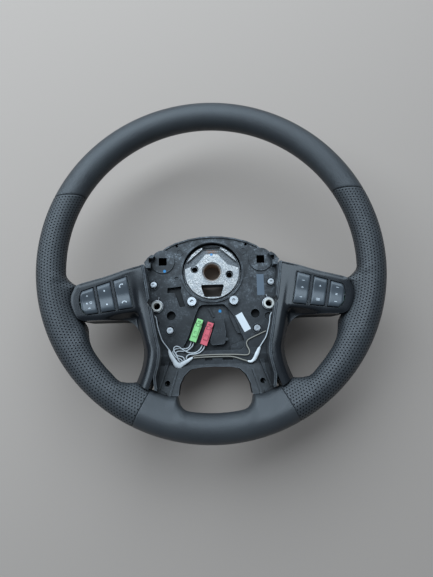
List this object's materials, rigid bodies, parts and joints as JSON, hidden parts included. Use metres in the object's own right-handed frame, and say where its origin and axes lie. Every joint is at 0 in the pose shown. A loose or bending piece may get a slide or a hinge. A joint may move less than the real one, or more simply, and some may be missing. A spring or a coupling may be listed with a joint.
{
  "type": "car steering wheel",
  "caption": "Leather-rimmed four-spoke steering wheel with switch rockers on both side spokes, its airbag module taken out, showing hub disc, carrier and parked plugs.",
  "frame": {"origin": "centre of the shaft bore at the back of the hub disc", "axes": "+Z along the shaft towards the driver, +Y to the top of the wheel, +X to the driver's right"},
  "size_m": [0.45, 0.4499, 0.1085],
  "materials": {
    "cast_metal": "cast, lightly machined",
    "foam": "matt foam",
    "leather_smooth": "smooth satin",
    "leather_perforated": "perforated satin",
    "carrier_plastic": "fine grain, dusty",
    "trim_plastic": "satin paint",
    "cover_plastic": "fine grain",
    "silicone": "matt",
    "board": "lacquered",
    "rocker_plastic": "satin with pale symbols",
    "fastener_steel": "zinc plated",
    "bush_plastic": "natural nylon",
    "spring_steel": "bright wire",
    "green_plastic": "moulded",
    "red_plastic": "moulded",
    "beige_insulation": "smooth",
    "label_white": "paper, blank",
    "label_grey": "foil, blank",
    "white_insulation": "smooth"
  },
  "bodies": {
    "wheel": {"armature": "cast_metal", "rim_foam": "foam", "leather_top": "leather_smooth", "leather_left": "leather_perforated", "leather_right": "leather_perforated", "leather_bottom": "leather_smooth", "hub_carrier": "carrier_plastic", "rear_cover": "carrier_plastic", "trim_left": "trim_plastic", "trim_right": "trim_plastic", "spoke_back_left": "cover_plastic", "spoke_back_right": "cover_plastic", "housing_left": "cover_plastic", "housing_right": "cover_plastic", "keypad_left": "silicone", "keypad_right": "silicone", "circuit_board_left": "board", "circuit_board_right": "board", "carrier_bolts": "fastener_steel", "carrier_screws": "fastener_steel", "board_screws": "fastener_steel", "airbag_bushes": "bush_plastic", "bush_springs": "spring_steel", "contact_block": "carrier_plastic", "connector_green": "green_plastic", "connector_red": "red_plastic", "wire_green_1": "white_insulation", "wire_green_2": "white_insulation", "wire_red_1": "white_insulation", "wire_red_2": "white_insulation", "sleeve_left": "white_insulation", "sleeve_right": "white_insulation", "harness_left": "white_insulation", "harness_right": "white_insulation", "harness_bottom": "beige_insulation", "harness_branch": "beige_insulation", "data_label": "label_white", "date_label": "label_grey"},
    "rocker_left_1": {"rocker_left_1": "rocker_plastic"},
    "rocker_left_2": {"rocker_left_2": "rocker_plastic"},
    "rocker_left_3": {"rocker_left_3": "rocker_plastic"},
    "rocker_right_1": {"rocker_right_1": "rocker_plastic"},
    "rocker_right_2": {"rocker_right_2": "rocker_plastic"},
    "rocker_right_3": {"rocker_right_3": "rocker_plastic"}
  },
  "joints": [
    {"name": "rocker_left_1_tilt", "type": "hinge", "parent": "wheel", "child": "rocker_left_1", "pos_m": [-0.11523, -0.03787, 0.07387], "axis": [0.9704, 0.1994, -0.1364], "range_deg": [-4, 4], "stiffness_Nm_per_rad": 0.05},
    {"name": "rocker_left_2_tilt", "type": "hinge", "parent": "wheel", "child": "rocker_left_2", "pos_m": [-0.13629, -0.0422, 0.07683], "axis": [0.9704, 0.1994, -0.1364], "range_deg": [-4, 4], "stiffness_Nm_per_rad": 0.05},
    {"name": "rocker_left_3_tilt", "type": "hinge", "parent": "wheel", "child": "rocker_left_3", "pos_m": [-0.15735, -0.04653, 0.07979], "axis": [0.9704, 0.1994, -0.1364], "range_deg": [-4, 4], "stiffness_Nm_per_rad": 0.05},
    {"name": "rocker_right_1_tilt", "type": "hinge", "parent": "wheel", "child": "rocker_right_1", "pos_m": [0.11523, -0.03787, 0.07387], "axis": [0.9704, -0.1994, 0.1364], "range_deg": [-4, 4], "stiffness_Nm_per_rad": 0.05},
    {"name": "rocker_right_2_tilt", "type": "hinge", "parent": "wheel", "child": "rocker_right_2", "pos_m": [0.13629, -0.0422, 0.07683], "axis": [0.9704, -0.1994, 0.1364], "range_deg": [-4, 4], "stiffness_Nm_per_rad": 0.05},
    {"name": "rocker_right_3_tilt", "type": "hinge", "parent": "wheel", "child": "rocker_right_3", "pos_m": [0.15735, -0.04653, 0.07979], "axis": [0.9704, -0.1994, 0.1364], "range_deg": [-4, 4], "stiffness_Nm_per_rad": 0.05}
  ]
}
